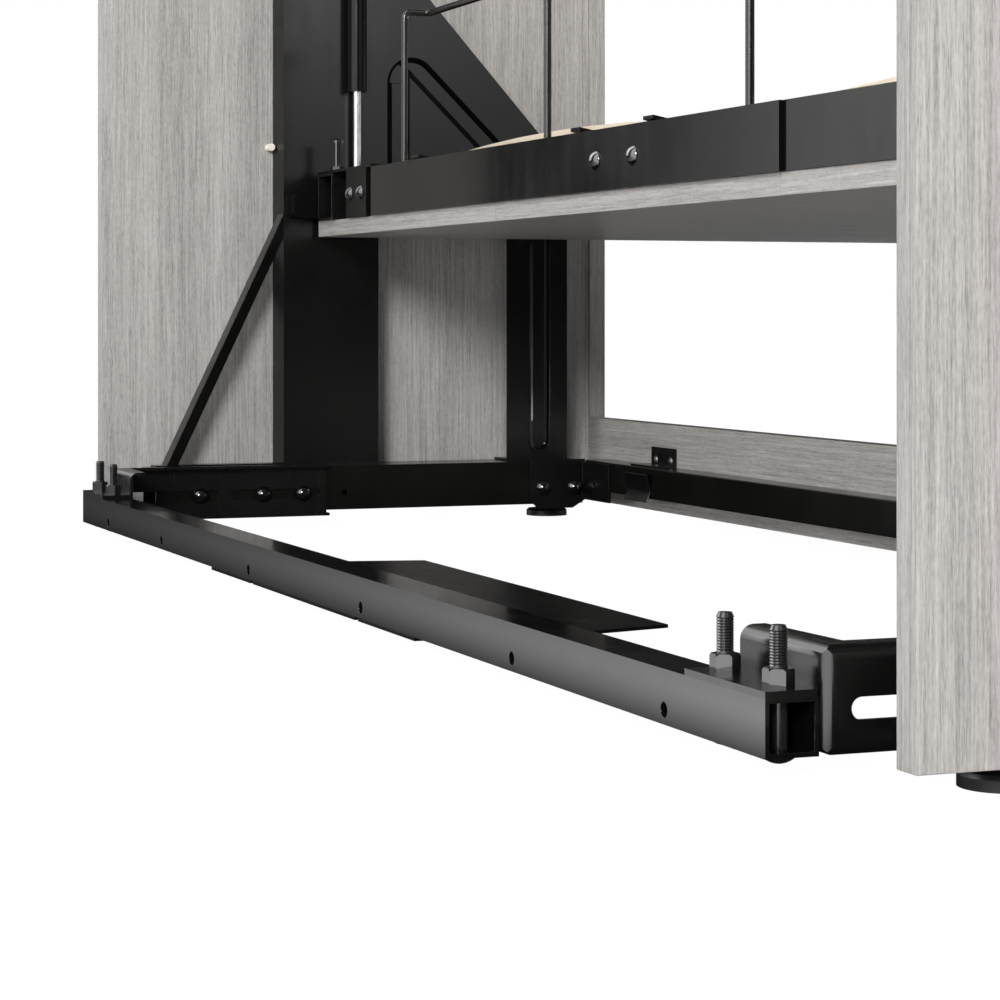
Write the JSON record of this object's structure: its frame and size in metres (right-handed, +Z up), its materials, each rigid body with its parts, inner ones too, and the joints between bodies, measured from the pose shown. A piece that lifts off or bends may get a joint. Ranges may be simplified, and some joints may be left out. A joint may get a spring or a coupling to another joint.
{
  "type": "murphy wall bed",
  "caption": "Wall bed with an open-backed grey laminate cabinet, black steel mechanism, gas struts and a slatted deck that pivots down onto folding legs.",
  "frame": {"origin": "on the floor, mid-width, halfway between the wall plane and the foot end of the opened bed", "axes": "+Z up, +Y towards the wall, -Y towards the foot of the bed, X across the width"},
  "size_m": [1.764, 2.342, 2.273],
  "materials": {
    "grey_woodgrain_laminate": "matt grey-taupe laminate with fine straight wood grain",
    "black_powder_coat": "semi-gloss black powder coat",
    "black_fasteners": "black-oxide steel, glossy domed heads",
    "chrome_rod": "polished chrome-plated rod",
    "bright_steel": "bright turned steel",
    "bronze_bush": "sintered bronze",
    "birch_slats": "clear-finished birch laminate",
    "dowel_wood": "plain turned beech",
    "black_plastic": "moulded black plastic",
    "black_rubber": "moulded rubber"
  },
  "bodies": {
    "cabinet": {"side_panel_left": "grey_woodgrain_laminate", "side_panel_right": "grey_woodgrain_laminate", "top_panel": "grey_woodgrain_laminate", "toe_rail": "grey_woodgrain_laminate", "stile_left": "grey_woodgrain_laminate", "stile_right": "grey_woodgrain_laminate", "header_rail": "grey_woodgrain_laminate", "wall_cleat": "grey_woodgrain_laminate", "panel_dowels": "dowel_wood", "rear_floor_tube": "black_powder_coat", "floor_plate": "black_powder_coat", "floor_plate_screws": "black_fasteners", "slide_bracket_left": "black_powder_coat", "slide_bracket_right": "black_powder_coat", "tube_studs": "black_fasteners", "stud_nuts": "black_fasteners", "side_beam_left": "black_powder_coat", "side_beam_right": "black_powder_coat", "beam_bolts": "black_fasteners", "levelling_glides": "black_plastic", "side_plate_left": "black_powder_coat", "side_plate_right": "black_powder_coat", "brace_left": "black_powder_coat", "brace_right": "black_powder_coat", "front_bar": "black_powder_coat", "corner_brackets": "black_powder_coat", "toe_brackets": "black_powder_coat", "bar_clips": "black_powder_coat", "bracket_screws": "bright_steel", "bump_stops": "black_rubber", "pivot_bushes": "bronze_bush", "strut_anchor_pins": "black_fasteners"},
    "bed": {"face_board_left": "grey_woodgrain_laminate", "face_board_centre": "grey_woodgrain_laminate", "face_board_right": "grey_woodgrain_laminate", "bed_rail_left": "black_powder_coat", "bed_rail_right": "black_powder_coat", "head_rail_left": "black_powder_coat", "head_rail_right": "black_powder_coat", "foot_rail": "black_powder_coat", "centre_rail": "black_powder_coat", "cross_bearers": "black_powder_coat", "head_corner_brackets": "black_powder_coat", "rail_bolts": "black_fasteners", "adjusting_screws": "black_fasteners", "pivot_brackets": "black_powder_coat", "pivot_pins": "bright_steel", "strut_studs": "black_fasteners", "slats_left": "birch_slats", "slats_right": "birch_slats", "slat_holders": "black_plastic", "mattress_stop": "black_powder_coat", "leg_clevises": "black_powder_coat", "pull_handles": "black_powder_coat"},
    "strut_cylinder_left": {"strut_cylinder_left": "black_powder_coat"},
    "strut_rod_left": {"strut_rod_left": "chrome_rod"},
    "strut_cylinder_right": {"strut_cylinder_right": "black_powder_coat"},
    "strut_rod_right": {"strut_rod_right": "chrome_rod"},
    "leg_left": {"leg_left": "black_powder_coat"},
    "leg_right": {"leg_right": "black_powder_coat"}
  },
  "joints": [
    {"name": "bed_pivot", "type": "hinge", "parent": "cabinet", "child": "bed", "pos_m": [0, 0.63, 0.397], "axis": [-1, 0, 0], "range_deg": [0, 90]},
    {"name": "strut_left_swing", "type": "hinge", "parent": "cabinet", "child": "strut_cylinder_left", "pos_m": [-0.8065, 0.864, 0.874], "axis": [-1, 0, 0], "range_deg": [0, 21.2]},
    {"name": "strut_left_extend", "type": "slide", "parent": "strut_cylinder_left", "child": "strut_rod_left", "axis": [0, 0, -1], "range_m": [0, 0.2445]},
    {"name": "strut_right_swing", "type": "hinge", "parent": "cabinet", "child": "strut_cylinder_right", "pos_m": [0.8065, 0.864, 0.874], "axis": [-1, 0, 0], "range_deg": [0, 21.2]},
    {"name": "strut_right_extend", "type": "slide", "parent": "strut_cylinder_right", "child": "strut_rod_right", "axis": [0, 0, -1], "range_m": [0, 0.2445]},
    {"name": "leg_left_fold", "type": "hinge", "parent": "bed", "child": "leg_left", "pos_m": [-0.64, -1.159, 0.326], "axis": [1, 0, 0], "range_deg": [0, 90]},
    {"name": "leg_right_fold", "type": "hinge", "parent": "bed", "child": "leg_right", "pos_m": [0.64, -1.159, 0.326], "axis": [1, 0, 0], "range_deg": [0, 90]}
  ],
  "couplings": [
    {"joint": "strut_left_swing", "follows": "bed_pivot", "ratio": 0.23495},
    {"joint": "strut_left_extend", "follows": "bed_pivot", "m_per_rad": 0.15554},
    {"joint": "strut_right_swing", "follows": "bed_pivot", "ratio": 0.23495},
    {"joint": "strut_right_extend", "follows": "bed_pivot", "m_per_rad": 0.15554}
  ]
}
